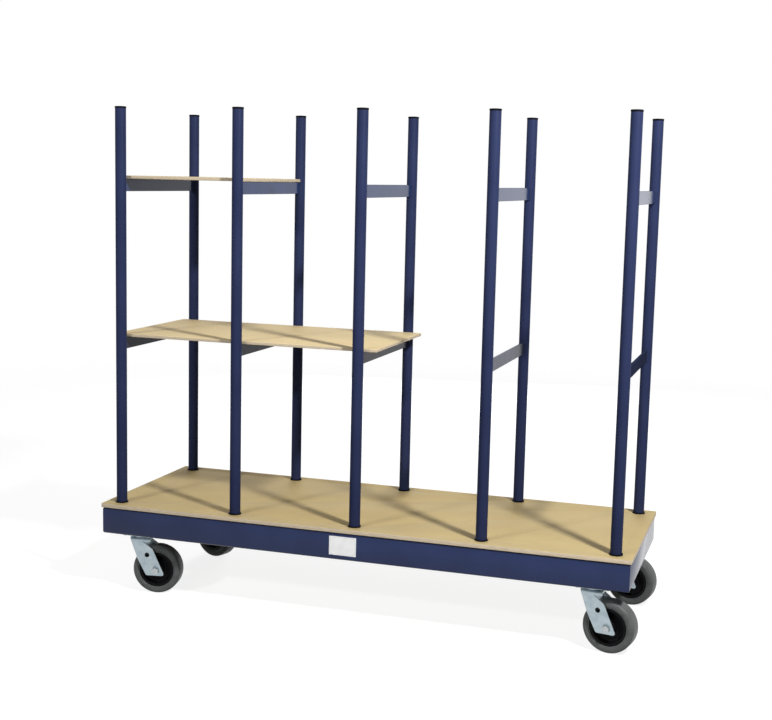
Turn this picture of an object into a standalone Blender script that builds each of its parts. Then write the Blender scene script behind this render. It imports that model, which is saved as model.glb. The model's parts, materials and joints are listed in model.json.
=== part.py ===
"""Parts cart: a deck on four swivel casters, five lift-out divider frames and two loose shelf boards.

Metres, +Z up. X runs along the deck, the front side rail faces -Y, and the floor is at Z = 0.
"""

import math

import bmesh
import bpy
from mathutils import Matrix, Vector

# Clearances
GAP = 0.0003                    # between pieces that rest on or touch each other
SOCKET_PLAY = 0.0004            # round a post inside its socket

# Casters
WHEEL_DIAMETER = 0.1524
WHEEL_WIDTH = 0.0508
TYRE_SHOULDER = 0.012           # radius of the tyre's rounded edges
TYRE_CROWN = 0.0008             # how far the tread's middle stands above its edges
TYRE_DEPTH = 0.0216             # from the tread down to the wheel's rim
RIM_DEPTH = 0.009
RIM_INSET = 0.0024              # from each side of the tyre in to the rim
RIM_DRAFT = 0.004               # slope of the rim's inner side
WEB_THICKNESS = 0.018
HUB_DIAMETER = 0.042
HUB_PROUD = 0.0031              # hub past each side of the tyre
BUSH_WALL = 0.003
BUSH_PROUD = 0.0012             # bush past each end of the hub
AXLE_DIAMETER = 0.0127
AXLE_HEX = 0.0191               # across the flats of the axle's head and nut
AXLE_HEX_HEIGHT = 0.008
CROWN_CLEARANCE = 0.0219        # wheel top up to the fork's crown
CASTER_TRAIL = 0.0530           # swivel axis to the wheel's axle
CASTER_END_INSET = 0.1057       # from the end rail's outer face in to the swivel axis
CASTER_SIDE_INSET = 0.0595      # from the side rail's outer face in to the swivel axis
CASTER_PLATE_LENGTH = 0.1048
CASTER_PLATE_WIDTH = 0.0794
CASTER_PLATE_THICKNESS = 0.00635
CASTER_PLATE_CORNER = 0.008
RACE_DIAMETER = 0.060
RACE_HEIGHT = 0.00235           # upper race, under the caster plate
RACE_TAPER = 0.002
RACE_SEAT_HEIGHT = 0.0022       # lower race, on the fork's crown
KING_PIN_DIAMETER = 0.0127
KING_PIN_HEAD_DIAMETER = 0.023
KING_PIN_HEAD_HEIGHT = 0.009
FORK_SHEET = 0.005
FORK_INNER_BEND = 0.004         # inner radius where the crown turns down into the legs
CROWN_FRONT = 0.0290            # from the swivel axis to the crown's leading edge
CROWN_BACK = 0.0365
CROWN_SKIRT = 0.0119            # depth of the crown's bent-down edge behind the neck
NECK_BACK = 0.0120              # where the leg's back edge leaves the crown
SHOULDER_BACK = 0.0435          # where the leg reaches its full width
SHOULDER_DROP = 0.0342          # below the crown's top
LEG_FRONT_FOOT = 0.0305         # from the axle to the front of the leg's foot
LEG_BACK_FOOT = 0.0292
LEG_BELOW_AXLE = 0.0162
LEG_CORNER = 0.006
LEG_KNEE_AHEAD = 0.0062         # from the swivel axis to the bend in the leg's front edge
LEG_KNEE_ABOVE_AXLE = 0.0398
LEG_KNEE_RADIUS = 0.030
LEG_HOLE_DIAMETER = 0.0155
LEG_HOLE_ABOVE_AXLE = 0.0491
LEG_HOLE_AHEAD_OF_AXLE = 0.0272

# Chassis
RAIL_END_MARGIN = 0.0463        # rails past the first and last frames
RAIL_SPREAD = 0.580             # over the outer faces of the two side rails
RAIL_HEIGHT = 0.08255
RAIL_DROP = 0.00635             # rails' lower edges below the sockets' lower ends
RAIL_WALL = 0.0048
RAIL_FLANGE = 0.019
RAIL_INNER_BEND = 0.0012        # inner radius of the channel's corners
PAD_THICKNESS = 0.0048
PAD_MARGIN = 0.020              # past the caster plate's inner edges
PAD_CLIP = 0.030                # corner cut off the pad's inner end
DECK_THICKNESS = 0.0127
DECK_OVERHANG = 0.004
DECK_CORNER = 0.004
BOARD_EASE = 0.001              # eased edges of the deck and shelf boards

# Divider frames
FRAME_COUNT = 5
FRAME_PITCH = 0.386
POST_DIAMETER = 0.0334
POST_WALL = 0.0034
POST_RISE = 1.2192              # deck top to post top
BAR_DEPTH = 0.0381
BAR_THICKNESS = 0.00635
BAR_EASE = 0.0008
MID_BAR_RISE = 0.501            # deck top to the bar's centre line
TOP_BAR_RISE = 0.986
SOCKET_WALL = 0.002
SOCKET_FLOOR = 0.005
SOCKET_RIM = 0.004              # how far a socket stands up through the deck
SOCKET_SIDE_CLEARANCE = 0.000725    # from a socket to the side rail's flanges
CROSS_MEMBER_THICKNESS = 0.00635
CROSS_MEMBER_LIFT = 0.002       # from the sockets' lower ends up to the plate

# Shelf boards
SHELF_THICKNESS = 0.0095
SHELF_END_PLAY = 0.002          # from each long edge to the post rows
SHELF_LEFT_OVERHANG = 0.030     # past the first frame
MID_SHELF_FRAME_COUNT = 3
MID_SHELF_RIGHT_OVERHANG = 0.050
TOP_SHELF_FRAME_COUNT = 2
TOP_SHELF_RIGHT_OVERHANG = 0.008

# Facets
TUBE_SIDES = 20
WHEEL_SIDES = 28
SMALL_SIDES = 12
HEX_SIDES = 6
ARC_STEPS = 3
SMOOTH_ANGLE = math.radians(35)
MERGE_DISTANCE = 0.00001
CUTTER_REACH = 4                # how many times longer a cutter is than what it passes through

# Heights and places that follow from the sizes above
WHEEL_RADIUS = WHEEL_DIAMETER / 2
RIM_WIDTH = WHEEL_WIDTH - 2 * RIM_INSET
HUB_LENGTH = WHEEL_WIDTH + 2 * HUB_PROUD
BUSH_LENGTH = HUB_LENGTH + 2 * BUSH_PROUD
FORK_INNER = BUSH_LENGTH / 2 + GAP
FORK_OUTER = FORK_INNER + FORK_SHEET
FORK_BEND = FORK_INNER_BEND + FORK_SHEET
CROWN_BOTTOM = WHEEL_DIAMETER + CROWN_CLEARANCE
CROWN_TOP = CROWN_BOTTOM + FORK_SHEET
LOWER_RACE_TOP = CROWN_TOP + RACE_SEAT_HEIGHT
UPPER_RACE_BOTTOM = LOWER_RACE_TOP + GAP
PLATE_BOTTOM = UPPER_RACE_BOTTOM + RACE_HEIGHT
PLATE_TOP = PLATE_BOTTOM + CASTER_PLATE_THICKNESS
PAD_BOTTOM = PLATE_TOP + GAP
PAD_TOP = PAD_BOTTOM + PAD_THICKNESS
SOCKET_BOTTOM = PAD_TOP + GAP
RAIL_BOTTOM = SOCKET_BOTTOM - RAIL_DROP
RAIL_TOP = RAIL_BOTTOM + RAIL_HEIGHT
RAIL_BEND = RAIL_INNER_BEND + RAIL_WALL
RAIL_LENGTH = (FRAME_COUNT - 1) * FRAME_PITCH + 2 * RAIL_END_MARGIN
CASTER_REACH_X = RAIL_LENGTH / 2 - CASTER_END_INSET
CASTER_REACH_Y = RAIL_SPREAD / 2 - CASTER_SIDE_INSET
DECK_BOTTOM = RAIL_TOP + GAP
DECK_TOP = DECK_BOTTOM + DECK_THICKNESS
POST_RADIUS = POST_DIAMETER / 2
SOCKET_BORE = POST_RADIUS + SOCKET_PLAY
SOCKET_RADIUS = SOCKET_BORE + SOCKET_WALL
SOCKET_TOP = DECK_TOP + SOCKET_RIM
POST_INSET = RAIL_FLANGE + SOCKET_SIDE_CLEARANCE + SOCKET_RADIUS
POST_ROW_SPREAD = RAIL_SPREAD - 2 * POST_INSET
BORE_BOTTOM = SOCKET_BOTTOM + SOCKET_FLOOR
POST_FOOT = BORE_BOTTOM + GAP
POST_TOP = DECK_TOP + POST_RISE
BAR_LENGTH = POST_ROW_SPREAD - POST_DIAMETER - 2 * GAP
SHELF_WIDTH = POST_ROW_SPREAD - POST_DIAMETER - 2 * SHELF_END_PLAY
DECK_HALF_LENGTH = RAIL_LENGTH / 2 + DECK_OVERHANG
FRAME_X = [(number - (FRAME_COUNT - 1) / 2) * FRAME_PITCH for number in range(FRAME_COUNT)]
CORNERS = {
    "front_left": (-1, -1),
    "front_right": (1, -1),
    "rear_left": (-1, 1),
    "rear_right": (1, 1),
}

# How far each fork stands turned from a trail straight along +X
REST_TURNS = {
    "front_left": math.radians(10.5),
    "front_right": math.radians(-11.5),
    "rear_left": math.radians(-18),
    "rear_right": math.radians(-12),
}

# How an outline's two axes and its thickness lie in space
THICK_ALONG_X = Matrix(((0, 0, 1, 0), (1, 0, 0, 0), (0, 1, 0, 0), (0, 0, 0, 1)))
THICK_ALONG_Y = Matrix(((1, 0, 0, 0), (0, 0, -1, 0), (0, 1, 0, 0), (0, 0, 0, 1)))
THICK_ALONG_Z = Matrix.Identity(4)
TURN_AXIS_TO_Y = Matrix.Rotation(math.radians(90), 4, "X")


# Scene and shared helpers

for old in list(bpy.data.objects):
    bpy.data.objects.remove(old)

cart_parts = bpy.data.collections.new("parts_cart")
cutter_parts = bpy.data.collections.new("cutters")
bpy.context.scene.collection.children.link(cart_parts)
bpy.context.scene.collection.children.link(cutter_parts)


def make_material(name, colour, roughness, metallic):
    material = bpy.data.materials.new(name)
    material.use_nodes = True
    shader = material.node_tree.nodes["Principled BSDF"]
    shader.inputs["Base Color"].default_value = (*colour, 1.0)
    shader.inputs["Roughness"].default_value = roughness
    shader.inputs["Metallic"].default_value = metallic
    return material


NAVY_PAINT = make_material("navy_paint", (0.028, 0.042, 0.125), 0.35, 0.0)
SOCKET_BLACK = make_material("socket_black", (0.012, 0.012, 0.014), 0.50, 0.0)
TAN_BOARD = make_material("tan_board", (0.580, 0.430, 0.230), 0.60, 0.0)
ZINC = make_material("zinc_plate", (0.620, 0.660, 0.680), 0.35, 1.0)
STEEL = make_material("bright_steel", (0.560, 0.570, 0.580), 0.30, 1.0)
GREY_RUBBER = make_material("grey_rubber", (0.110, 0.110, 0.108), 0.65, 0.0)
BLACK_CORE = make_material("black_core", (0.015, 0.015, 0.017), 0.45, 0.0)


def make_empty(name, parent, location, turn_z=0.0):
    empty = bpy.data.objects.new(name, None)
    empty.empty_display_size = POST_DIAMETER
    empty.parent = parent
    empty.location = location
    empty.rotation_euler.z = turn_z
    cart_parts.objects.link(empty)
    return empty


def make_part(name, mesh, material, parent, location=(0.0, 0.0, 0.0), turn_z=0.0):
    part = bpy.data.objects.new(name, mesh)
    mesh.materials.clear()
    mesh.materials.append(material)
    part.parent = parent
    part.location = location
    part.rotation_euler.z = turn_z
    cart_parts.objects.link(part)
    return part


def make_cutter(name, mesh, parent, location=(0.0, 0.0, 0.0)):
    cutter = bpy.data.objects.new(name, mesh)
    cutter.parent = parent
    cutter.location = location
    cutter.hide_render = True
    cutter.display_type = "WIRE"
    cutter_parts.objects.link(cutter)
    return cutter


def add_boolean(part, operation, other):
    boolean = part.modifiers.new(operation.lower(), "BOOLEAN")
    boolean.operation = operation
    boolean.object = other


def add_ease(part, width):
    ease = part.modifiers.new("eased_edges", "BEVEL")
    ease.width = width
    ease.segments = 1
    ease.limit_method = "ANGLE"
    ease.angle_limit = SMOOTH_ANGLE


def smooth(mesh):
    mesh.shade_smooth()
    mesh.set_sharp_from_angle(angle=SMOOTH_ANGLE)
    return mesh


def rounded(corners):
    """Outline points in which each corner (x, y, radius) has become an arc."""
    points = []
    for index, (x, y, radius) in enumerate(corners):
        corner = Vector((x, y))
        if radius == 0.0:
            points.append(corner)
            continue
        before = (Vector(corners[index - 1][:2]) - corner).normalized()
        after = (Vector(corners[(index + 1) % len(corners)][:2]) - corner).normalized()
        half_angle = before.angle(after) / 2
        reach = radius / math.tan(half_angle)
        centre = corner + (before + after).normalized() * (radius / math.sin(half_angle))
        start = (corner + before * reach - centre).normalized()
        end = (corner + after * reach - centre).normalized()
        for step in range(ARC_STEPS + 1):
            points.append(centre + start.slerp(end, step / ARC_STEPS) * radius)
    return points


def rectangle(low, high, radius):
    """A rounded rectangle from its low and high corners."""
    return rounded([
        (low[0], low[1], radius),
        (high[0], low[1], radius),
        (high[0], high[1], radius),
        (low[0], high[1], radius),
    ])


def outline_mesh(name, points, thickness, placing):
    """A filled outline with a thickness centred on its plane, laid in space by a matrix."""
    curve = bpy.data.curves.new(name, "CURVE")
    curve.dimensions = "2D"
    curve.fill_mode = "BOTH"
    curve.extrude = thickness / 2
    spline = curve.splines.new("POLY")
    spline.points.add(len(points) - 1)
    for spline_point, (x, y) in zip(spline.points, points):
        spline_point.co = (x, y, 0.0, 1.0)
    spline.use_cyclic_u = True
    flat = bpy.data.objects.new(name, curve)
    cart_parts.objects.link(flat)
    evaluated = flat.evaluated_get(bpy.context.evaluated_depsgraph_get())
    mesh = bpy.data.meshes.new_from_object(evaluated)
    bpy.data.objects.remove(flat)
    editable = bmesh.new()
    editable.from_mesh(mesh)
    bmesh.ops.remove_doubles(editable, verts=editable.verts, dist=MERGE_DISTANCE)
    bmesh.ops.recalc_face_normals(editable, faces=editable.faces)
    editable.to_mesh(mesh)
    editable.free()
    mesh.transform(placing)
    return mesh


def rods_mesh(name, rods):
    """Closed cylinders in one mesh, each given as (matrix, radius, length, sides)."""
    editable = bmesh.new()
    for matrix, radius, length, sides in rods:
        bmesh.ops.create_cone(
            editable,
            cap_ends=True,
            segments=sides,
            radius1=radius,
            radius2=radius,
            depth=length,
            matrix=matrix,
        )
    mesh = bpy.data.meshes.new(name)
    editable.to_mesh(mesh)
    editable.free()
    return mesh


def box_mesh(name, size):
    editable = bmesh.new()
    bmesh.ops.create_cube(editable, size=1.0, matrix=Matrix.Diagonal((*size, 1.0)))
    mesh = bpy.data.meshes.new(name)
    editable.to_mesh(mesh)
    editable.free()
    return mesh


def profile_mesh(name, points, closed):
    """A turning profile of (radius, height) points in the XZ plane."""
    mesh = bpy.data.meshes.new(name)
    vertices = [(radius, 0.0, height) for radius, height in points]
    edges = [(index, index + 1) for index in range(len(points) - 1)]
    if closed:
        edges.append((len(points) - 1, 0))
    mesh.from_pydata(vertices, edges, [])
    return mesh


def add_turning(part, sides):
    turning = part.modifiers.new("turning", "SCREW")
    turning.steps = sides
    turning.render_steps = sides
    turning.use_merge_vertices = True
    turning.merge_threshold = MERGE_DISTANCE
    turning.use_smooth_shade = True


# Chassis: four mitred channels, five cross members with post sockets, four caster pads and the deck

def channel_mesh(name, length):
    """A channel along X, mitred at both ends: web's outer face at Y = 0, flanges towards +Y."""
    section = rounded([
        (0.0, 0.0, RAIL_BEND),
        (RAIL_FLANGE, 0.0, 0.0),
        (RAIL_FLANGE, RAIL_WALL, 0.0),
        (RAIL_WALL, RAIL_WALL, RAIL_INNER_BEND),
        (RAIL_WALL, RAIL_HEIGHT - RAIL_WALL, RAIL_INNER_BEND),
        (RAIL_FLANGE, RAIL_HEIGHT - RAIL_WALL, 0.0),
        (RAIL_FLANGE, RAIL_HEIGHT, 0.0),
        (0.0, RAIL_HEIGHT, RAIL_BEND),
    ])
    mesh = outline_mesh(name, section, length, THICK_ALONG_X)
    for vertex in mesh.vertices:
        shortening = vertex.co.y + GAP / math.sqrt(2)
        vertex.co.x -= math.copysign(shortening, vertex.co.x)
    return smooth(mesh)


def build_rails(origin):
    places = {
        "front_side_rail": (RAIL_LENGTH, (0.0, -RAIL_SPREAD / 2), 0.0),
        "right_end_rail": (RAIL_SPREAD, (RAIL_LENGTH / 2, 0.0), math.pi / 2),
        "rear_side_rail": (RAIL_LENGTH, (0.0, RAIL_SPREAD / 2), math.pi),
        "left_end_rail": (RAIL_SPREAD, (-RAIL_LENGTH / 2, 0.0), -math.pi / 2),
    }
    for name, (length, (x, y), turn_z) in places.items():
        make_part(name, channel_mesh(name, length), NAVY_PAINT, origin, (x, y, RAIL_BOTTOM), turn_z)


def cross_member_outline():
    """A plate between the sockets, with tabs that pass between the rails' flanges to their webs."""
    end = RAIL_SPREAD / 2 - RAIL_WALL - GAP
    cope = POST_ROW_SPREAD / 2
    tab_bottom = SOCKET_BOTTOM + RAIL_BEND + GAP
    tab_top = RAIL_TOP - RAIL_BEND - GAP
    half = [
        (cope, SOCKET_BOTTOM + CROSS_MEMBER_LIFT),
        (cope, tab_bottom),
        (end, tab_bottom),
        (end, tab_top),
        (cope, tab_top),
        (cope, RAIL_TOP),
    ]
    return half + [(-y, z) for y, z in reversed(half)]


def build_cross_members(origin):
    tube_length = SOCKET_TOP - SOCKET_BOTTOM
    bore_length = SOCKET_TOP - BORE_BOTTOM
    rows = (-POST_ROW_SPREAD / 2, POST_ROW_SPREAD / 2)
    tubes = []
    bores = []
    for y in rows:
        tube_middle = Matrix.Translation((0.0, y, SOCKET_BOTTOM + tube_length / 2))
        bore_middle = Matrix.Translation((0.0, y, BORE_BOTTOM + bore_length))
        tubes.append((tube_middle, SOCKET_RADIUS, tube_length, TUBE_SIDES))
        bores.append((bore_middle, SOCKET_BORE, 2 * bore_length, TUBE_SIDES))
    for number, x in enumerate(FRAME_X, 1):
        name = f"socket_cross_member_{number}"
        plate = outline_mesh(name, cross_member_outline(), CROSS_MEMBER_THICKNESS, THICK_ALONG_X)
        member = make_part(name, plate, SOCKET_BLACK, origin, (x, 0.0, 0.0))
        tube_mesh = rods_mesh("socket_tubes", tubes)
        bore_mesh = rods_mesh("socket_bores", bores)
        tube_pair = make_cutter(f"socket_tubes_{number}", tube_mesh, origin, (x, 0.0, 0.0))
        bore_pair = make_cutter(f"socket_bores_{number}", bore_mesh, origin, (x, 0.0, 0.0))
        add_boolean(member, "UNION", tube_pair)
        add_boolean(member, "DIFFERENCE", bore_pair)


def build_caster_pads(origin):
    outer_x = RAIL_LENGTH / 2 - RAIL_FLANGE - GAP
    outer_y = RAIL_SPREAD / 2 - RAIL_FLANGE - GAP
    inner_x = CASTER_REACH_X - CASTER_PLATE_LENGTH / 2 - PAD_MARGIN
    inner_y = CASTER_REACH_Y - CASTER_PLATE_WIDTH / 2 - PAD_MARGIN
    outline = [
        (outer_x, outer_y),
        (inner_x, outer_y),
        (inner_x, inner_y + PAD_CLIP),
        (inner_x + PAD_CLIP, inner_y),
        (outer_x, inner_y),
    ]
    for corner, (side_x, side_y) in CORNERS.items():
        name = f"caster_pad_{corner}"
        points = [(side_x * x, side_y * y) for x, y in outline]
        pad = outline_mesh(name, points, PAD_THICKNESS, THICK_ALONG_Z)
        make_part(name, pad, NAVY_PAINT, origin, (0.0, 0.0, PAD_BOTTOM + PAD_THICKNESS / 2))


def build_deck(origin):
    reach = Vector((DECK_HALF_LENGTH, RAIL_SPREAD / 2 + DECK_OVERHANG))
    board = outline_mesh("deck_board", rectangle(-reach, reach, DECK_CORNER), DECK_THICKNESS, THICK_ALONG_Z)
    deck = make_part("deck_board", board, TAN_BOARD, origin, (0.0, 0.0, DECK_BOTTOM + DECK_THICKNESS / 2))
    holes = []
    for x in FRAME_X:
        for y in (-POST_ROW_SPREAD / 2, POST_ROW_SPREAD / 2):
            middle = Matrix.Translation((x, y, DECK_TOP))
            holes.append((middle, SOCKET_RADIUS + GAP, CUTTER_REACH * DECK_THICKNESS, TUBE_SIDES))
    add_ease(deck, BOARD_EASE)
    add_boolean(deck, "DIFFERENCE", make_cutter("deck_holes", rods_mesh("deck_holes", holes), origin))


# Divider frames: two round posts and two flat crossbars each, standing in the sockets

def build_frames(origin):
    post_profile = [
        (POST_RADIUS, POST_TOP - DECK_TOP),
        (POST_RADIUS, POST_FOOT - DECK_TOP),
        (POST_RADIUS - POST_WALL, POST_FOOT - DECK_TOP),
        (POST_RADIUS - POST_WALL, POST_TOP - DECK_TOP),
    ]
    rows = {"front": -POST_ROW_SPREAD / 2, "rear": POST_ROW_SPREAD / 2}
    rises = {"mid": MID_BAR_RISE, "top": TOP_BAR_RISE}
    for number, x in enumerate(FRAME_X, 1):
        frame = make_empty(f"frame_{number}", origin, (x, 0.0, DECK_TOP))
        for row, y in rows.items():
            name = f"post_{row}_{number}"
            post = make_part(name, profile_mesh(name, post_profile, True), NAVY_PAINT, frame, (0.0, y, 0.0))
            add_turning(post, TUBE_SIDES)
        for level, rise in rises.items():
            name = f"{level}_bar_{number}"
            bar_size = (BAR_THICKNESS, BAR_LENGTH, BAR_DEPTH)
            bar = make_part(name, box_mesh(name, bar_size), NAVY_PAINT, frame, (0.0, 0.0, rise))
            add_ease(bar, BAR_EASE)


def build_shelf(name, origin, last_frame, right_overhang, bar_rise):
    left = FRAME_X[0] - SHELF_LEFT_OVERHANG
    right = FRAME_X[last_frame - 1] + right_overhang
    bottom = DECK_TOP + bar_rise + BAR_DEPTH / 2 + GAP
    board = box_mesh(name, (right - left, SHELF_WIDTH, SHELF_THICKNESS))
    middle = ((left + right) / 2, 0.0, bottom + SHELF_THICKNESS / 2)
    add_ease(make_part(name, board, TAN_BOARD, origin, middle), BOARD_EASE)


# Casters: plate with the upper race and king pin, bent fork, axle, and a tyred wheel on a bush

def build_caster_plate(corner, place):
    half = Vector((CASTER_PLATE_LENGTH / 2, CASTER_PLATE_WIDTH / 2))
    name = f"caster_plate_{corner}"
    outline = rectangle(-half, half, CASTER_PLATE_CORNER)
    plate_mesh = outline_mesh(name, outline, CASTER_PLATE_THICKNESS, THICK_ALONG_Z)
    plate_middle = PLATE_TOP - CASTER_PLATE_THICKNESS / 2
    plate = make_part(name, plate_mesh, ZINC, place, (0.0, 0.0, plate_middle))
    pin_radius = KING_PIN_DIAMETER / 2
    head_radius = KING_PIN_HEAD_DIAMETER / 2
    head_top = CROWN_BOTTOM - GAP
    profile = [
        (0.0, plate_middle),
        (RACE_DIAMETER / 2, plate_middle),
        (RACE_DIAMETER / 2, PLATE_BOTTOM),
        (RACE_DIAMETER / 2 - RACE_TAPER, UPPER_RACE_BOTTOM),
        (pin_radius, UPPER_RACE_BOTTOM),
        (pin_radius, head_top),
        (head_radius, head_top),
        (head_radius, head_top - KING_PIN_HEAD_HEIGHT),
        (0.0, head_top - KING_PIN_HEAD_HEIGHT),
    ]
    head = make_cutter(f"swivel_head_{corner}", profile_mesh("swivel_head", profile, False), place)
    add_turning(head, TUBE_SIDES)
    add_boolean(plate, "UNION", head)


def fork_side_outline():
    """The fork seen along its axle: a crown, a cut-back neck and a leg that trails down to the axle."""
    foot = WHEEL_RADIUS - LEG_BELOW_AXLE
    skirt_bottom = CROWN_TOP - CROWN_SKIRT
    return rounded([
        (-CROWN_FRONT, CROWN_TOP, 0.0),
        (-LEG_KNEE_AHEAD, WHEEL_RADIUS + LEG_KNEE_ABOVE_AXLE, LEG_KNEE_RADIUS),
        (CASTER_TRAIL - LEG_FRONT_FOOT, foot, LEG_CORNER),
        (CASTER_TRAIL + LEG_BACK_FOOT, foot, LEG_CORNER),
        (SHOULDER_BACK, CROWN_TOP - SHOULDER_DROP, LEG_CORNER),
        (NECK_BACK, skirt_bottom, 0.0),
        (CROWN_BACK, skirt_bottom, 0.0),
        (CROWN_BACK, CROWN_TOP, 0.0),
    ])


def fork_section_outline():
    """The fork seen along its travel: one sheet bent down on both sides, its legs left long."""
    return rounded([
        (-FORK_OUTER, 0.0, 0.0),
        (-FORK_INNER, 0.0, 0.0),
        (-FORK_INNER, CROWN_BOTTOM, FORK_INNER_BEND),
        (FORK_INNER, CROWN_BOTTOM, FORK_INNER_BEND),
        (FORK_INNER, 0.0, 0.0),
        (FORK_OUTER, 0.0, 0.0),
        (FORK_OUTER, CROWN_TOP, FORK_BEND),
        (-FORK_OUTER, CROWN_TOP, FORK_BEND),
    ])


def build_fork(corner, swivel):
    name = f"caster_fork_{corner}"
    blank_length = CUTTER_REACH * WHEEL_DIAMETER
    bent_sheet = outline_mesh(name, fork_section_outline(), blank_length, THICK_ALONG_X)
    fork = make_part(name, bent_sheet, ZINC, swivel)
    cut_width = CUTTER_REACH * FORK_OUTER
    side = outline_mesh("fork_side", fork_side_outline(), cut_width, THICK_ALONG_Y)
    add_boolean(fork, "INTERSECT", make_cutter(f"fork_side_{corner}", side, swivel))
    seat_bottom = CROWN_TOP - FORK_SHEET / 2
    seat_height = LOWER_RACE_TOP - seat_bottom
    seat_middle = Matrix.Translation((0.0, 0.0, seat_bottom + seat_height / 2))
    seat_radius = RACE_DIAMETER / 2 - RACE_TAPER
    seat = rods_mesh("race_seat", [(seat_middle, seat_radius, seat_height, TUBE_SIDES)])
    add_boolean(fork, "UNION", make_cutter(f"race_seat_{corner}", seat, swivel))
    axle_place = Matrix.Translation((CASTER_TRAIL, 0.0, WHEEL_RADIUS)) @ TURN_AXIS_TO_Y
    hole_x = CASTER_TRAIL - LEG_HOLE_AHEAD_OF_AXLE
    hole_place = Matrix.Translation((hole_x, 0.0, WHEEL_RADIUS + LEG_HOLE_ABOVE_AXLE)) @ TURN_AXIS_TO_Y
    pin_place = Matrix.Translation((0.0, 0.0, CROWN_TOP))
    pin_cut = CUTTER_REACH * (RACE_SEAT_HEIGHT + FORK_SHEET)
    bores = rods_mesh("fork_bores", [
        (axle_place, AXLE_DIAMETER / 2 + GAP, cut_width, SMALL_SIDES),
        (hole_place, LEG_HOLE_DIAMETER / 2, cut_width, SMALL_SIDES),
        (pin_place, KING_PIN_DIAMETER / 2 + GAP, pin_cut, TUBE_SIDES),
    ])
    add_boolean(fork, "DIFFERENCE", make_cutter(f"fork_bores_{corner}", bores, swivel))


def build_axle(corner, swivel):
    name = f"caster_axle_{corner}"
    place = (CASTER_TRAIL, 0.0, WHEEL_RADIUS)
    hex_face = FORK_OUTER + GAP
    shank_length = 2 * hex_face + AXLE_HEX_HEIGHT
    shank = rods_mesh(name, [(TURN_AXIS_TO_Y, AXLE_DIAMETER / 2, shank_length, SMALL_SIDES)])
    axle = make_part(name, smooth(shank), STEEL, swivel, place)
    hex_radius = AXLE_HEX / 2 / math.cos(math.pi / HEX_SIDES)
    heads = []
    for side in (-1, 1):
        head_y = side * (hex_face + AXLE_HEX_HEIGHT / 2)
        head_place = Matrix.Translation((0.0, head_y, 0.0)) @ TURN_AXIS_TO_Y
        heads.append((head_place, hex_radius, AXLE_HEX_HEIGHT, HEX_SIDES))
    hexes = make_cutter(f"axle_hexes_{corner}", rods_mesh("axle_hexes", heads), swivel, place)
    add_boolean(axle, "UNION", hexes)


def tyre_profile():
    """Across the tyre: a slightly crowned tread, rounded shoulders and flat sides."""
    half = WHEEL_WIDTH / 2
    edge_radius = WHEEL_RADIUS - TYRE_CROWN
    inner = WHEEL_RADIUS - TYRE_DEPTH + GAP
    outline = rounded([
        (inner, half, 0.0),
        (edge_radius, half, TYRE_SHOULDER),
        (WHEEL_RADIUS, 0.0, 0.0),
        (edge_radius, -half, TYRE_SHOULDER),
        (inner, -half, 0.0),
    ])
    return [tuple(point) for point in outline]


def core_profile():
    """Across the wheel's core: rim, web and hub with a bore for the bush."""
    rim_outer = WHEEL_RADIUS - TYRE_DEPTH
    rim_inner = rim_outer - RIM_DEPTH
    hub_radius = HUB_DIAMETER / 2
    bore = AXLE_DIAMETER / 2 + GAP + BUSH_WALL + GAP
    upper = [
        (bore, HUB_LENGTH / 2),
        (hub_radius, HUB_LENGTH / 2),
        (hub_radius + RIM_DRAFT, WEB_THICKNESS / 2),
        (rim_inner - RIM_DRAFT, WEB_THICKNESS / 2),
        (rim_inner, RIM_WIDTH / 2),
        (rim_outer, RIM_WIDTH / 2),
    ]
    return upper + [(radius, -height) for radius, height in reversed(upper)]


def bush_profile():
    inner = AXLE_DIAMETER / 2 + GAP
    half = BUSH_LENGTH / 2
    return [(inner, half), (inner + BUSH_WALL, half), (inner + BUSH_WALL, -half), (inner, -half)]


def build_wheel(corner, swivel):
    pieces = {
        "wheel_tyre": (tyre_profile(), GREY_RUBBER, WHEEL_SIDES),
        "wheel_core": (core_profile(), BLACK_CORE, WHEEL_SIDES),
        "wheel_bush": (bush_profile(), STEEL, SMALL_SIDES),
    }
    for piece, (profile, material, sides) in pieces.items():
        name = f"{piece}_{corner}"
        place = (CASTER_TRAIL, 0.0, WHEEL_RADIUS)
        part = make_part(name, profile_mesh(name, profile, True), material, swivel, place)
        part.rotation_euler.x = math.radians(90)
        add_turning(part, sides)


def build_casters(origin):
    for corner, (side_x, side_y) in CORNERS.items():
        middle = (side_x * CASTER_REACH_X, side_y * CASTER_REACH_Y, 0.0)
        place = make_empty(f"caster_{corner}", origin, middle)
        swivel = make_empty(f"swivel_{corner}", place, (0.0, 0.0, 0.0), REST_TURNS[corner])
        build_caster_plate(corner, place)
        build_fork(corner, swivel)
        build_axle(corner, swivel)
        build_wheel(corner, swivel)


def middle_along_x():
    """The middle of the whole cart's extent along X."""
    depsgraph = bpy.context.evaluated_depsgraph_get()
    reach = []
    for part in cart_parts.objects:
        if part.type == "MESH":
            solid = part.evaluated_get(depsgraph)
            reach += [(solid.matrix_world @ vertex.co).x for vertex in solid.data.vertices]
    return (min(reach) + max(reach)) / 2


cart_origin = make_empty("cart_origin", None, (0.0, 0.0, 0.0))
build_rails(cart_origin)
build_cross_members(cart_origin)
build_caster_pads(cart_origin)
build_deck(cart_origin)
build_frames(cart_origin)
build_shelf("mid_shelf", cart_origin, MID_SHELF_FRAME_COUNT, MID_SHELF_RIGHT_OVERHANG, MID_BAR_RISE)
build_shelf("top_shelf", cart_origin, TOP_SHELF_FRAME_COUNT, TOP_SHELF_RIGHT_OVERHANG, TOP_BAR_RISE)
build_casters(cart_origin)
cart_origin.location.x = -middle_along_x()
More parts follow.
